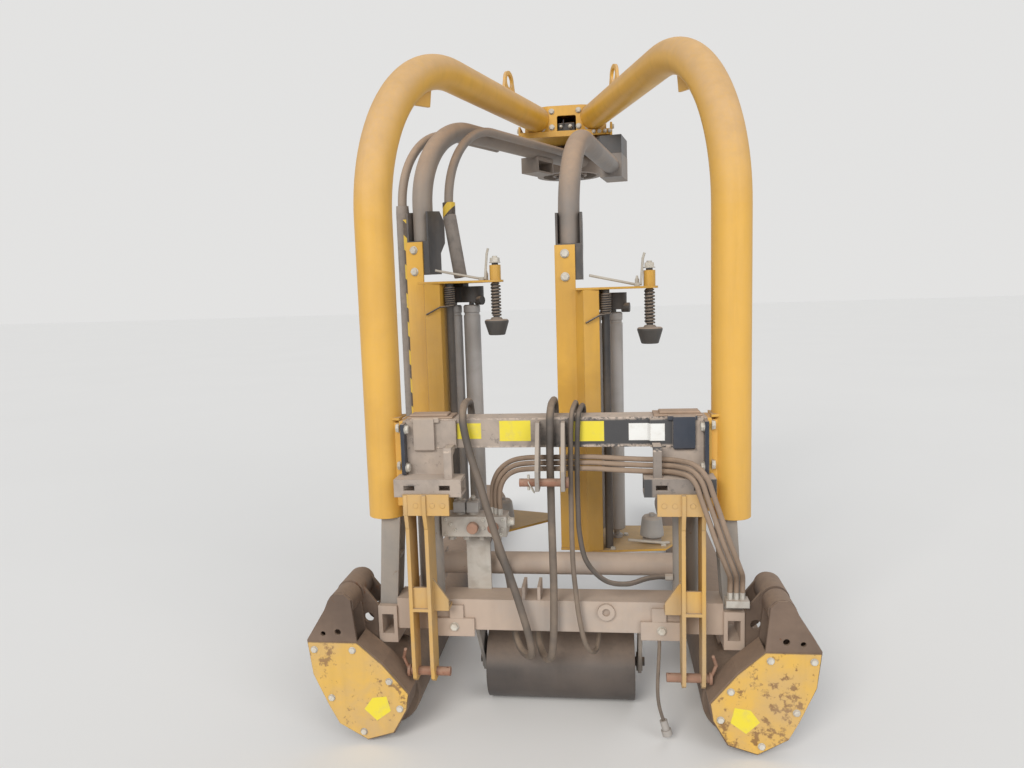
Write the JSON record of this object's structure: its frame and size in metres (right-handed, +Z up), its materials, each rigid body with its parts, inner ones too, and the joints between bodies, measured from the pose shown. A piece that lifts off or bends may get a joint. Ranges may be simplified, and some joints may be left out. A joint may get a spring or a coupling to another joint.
{
  "type": "mounted round bale wrapper",
  "caption": "Tractor mounted round bale wrapper: bent tube arch, hub with film arms, bale rollers on swinging arms and a three point headstock.",
  "frame": {"origin": "on the ground at the middle of the bounding box", "axes": "+X to the machine's right as seen from the hitch, +Y to its rear, away from the tractor, +Z up"},
  "size_m": [1.57, 2.555, 2.3639],
  "materials": {
    "yellow_paint": "worn golden yellow paint under tan dust",
    "dark_paint": "dark grey paint, dusty",
    "brown_steel": "old paint under brown dust and rust",
    "grey_steel": "grey paint, dusty",
    "rusty_pin": "rusted steel",
    "zinc": "zinc plated, dusty",
    "black_rubber": "dusty black rubber",
    "aluminium": "scuffed",
    "hose_rubber": "dusty rubber hose",
    "grey_plastic": "dusty plastic",
    "striped_paint": "black and yellow hazard stripes"
  },
  "bodies": {
    "frame": {"arch_tube_left": "yellow_paint", "arch_tube_right": "yellow_paint", "hub_box": "yellow_paint", "hub_plate": "yellow_paint", "slew_gear": "brown_steel", "upper_beam": "dark_paint", "top_link_bracket": "dark_paint", "top_link_pin": "rusty_pin", "hitch_bracket_left": "yellow_paint", "hitch_bracket_right": "yellow_paint", "lower_pin_left": "rusty_pin", "lower_pin_right": "rusty_pin", "lower_beam": "brown_steel", "side_post_left": "grey_steel", "side_post_right": "grey_steel", "outrigger_left": "brown_steel", "outrigger_right": "brown_steel", "cross_tube": "brown_steel", "valve_block": "zinc", "roller_struts": "dark_paint", "hose_bundle": "hose_rubber", "hose_fittings": "zinc", "hose_left_loop": "hose_rubber", "hose_centre_loop": "hose_rubber", "hose_thin": "hose_rubber", "hose_dark": "hose_rubber", "hanging_cable": "hose_rubber", "cable_connector": "grey_plastic"},
    "rotor": {"rotor_head": "dark_paint", "arm_tube_right": "grey_steel", "arm_clamp_right": "dark_paint", "mast_right": "yellow_paint", "film_plates_right": "yellow_paint", "film_cones_right": "black_rubber", "stretch_rollers_right": "aluminium", "roller_drive_right": "dark_paint", "lever_right": "zinc"},
    "folding_arm": {"arm_tube_left": "grey_steel", "arm_clamp_left": "dark_paint", "mast_left": "yellow_paint", "film_plates_left": "yellow_paint", "film_cones_left": "black_rubber", "stretch_rollers_left": "aluminium", "roller_drive_left": "dark_paint", "lever_left": "zinc", "safety_bar_outer": "grey_steel", "safety_bar_inner": "grey_steel", "stripe_board": "striped_paint"},
    "roller_arm_left": {"roller_case_left": "brown_steel", "case_cover_left": "yellow_paint"},
    "roller_arm_right": {"roller_case_right": "brown_steel", "case_cover_right": "yellow_paint"},
    "roller_left": {"bale_roller_left": "dark_paint"},
    "roller_right": {"bale_roller_right": "dark_paint"},
    "ground_drum": {"ground_roller": "dark_paint"}
  },
  "joints": [
    {"name": "rotor_spin", "type": "hinge", "parent": "frame", "child": "rotor", "pos_m": [0, 0.6775, 2.1], "axis": [0, 0, 1], "continuous": true},
    {"name": "arm_fold", "type": "hinge", "parent": "rotor", "child": "folding_arm", "pos_m": [0, 0.6775, 2.05], "axis": [0, 0, 1], "range_deg": [-151, 0]},
    {"name": "roller_arm_swing_left", "type": "hinge", "parent": "frame", "child": "roller_arm_left", "pos_m": [-0.673, -1.1025, 0.45], "axis": [0, 1, 0], "range_deg": [0, 35]},
    {"name": "roller_arm_swing_right", "type": "hinge", "parent": "frame", "child": "roller_arm_right", "pos_m": [0.673, -1.1025, 0.45], "axis": [0, -1, 0], "range_deg": [0, 35]},
    {"name": "bale_roller_spin_left", "type": "hinge", "parent": "roller_arm_left", "child": "roller_left", "pos_m": [-0.568, -1.1025, 0.115], "axis": [0, 1, 0], "continuous": true},
    {"name": "bale_roller_spin_right", "type": "hinge", "parent": "roller_arm_right", "child": "roller_right", "pos_m": [0.568, -1.1025, 0.115], "axis": [0, 1, 0], "continuous": true},
    {"name": "ground_roller_spin", "type": "hinge", "parent": "frame", "child": "ground_drum", "pos_m": [0, -0.9325, 0.126], "axis": [1, 0, 0], "continuous": true}
  ]
}
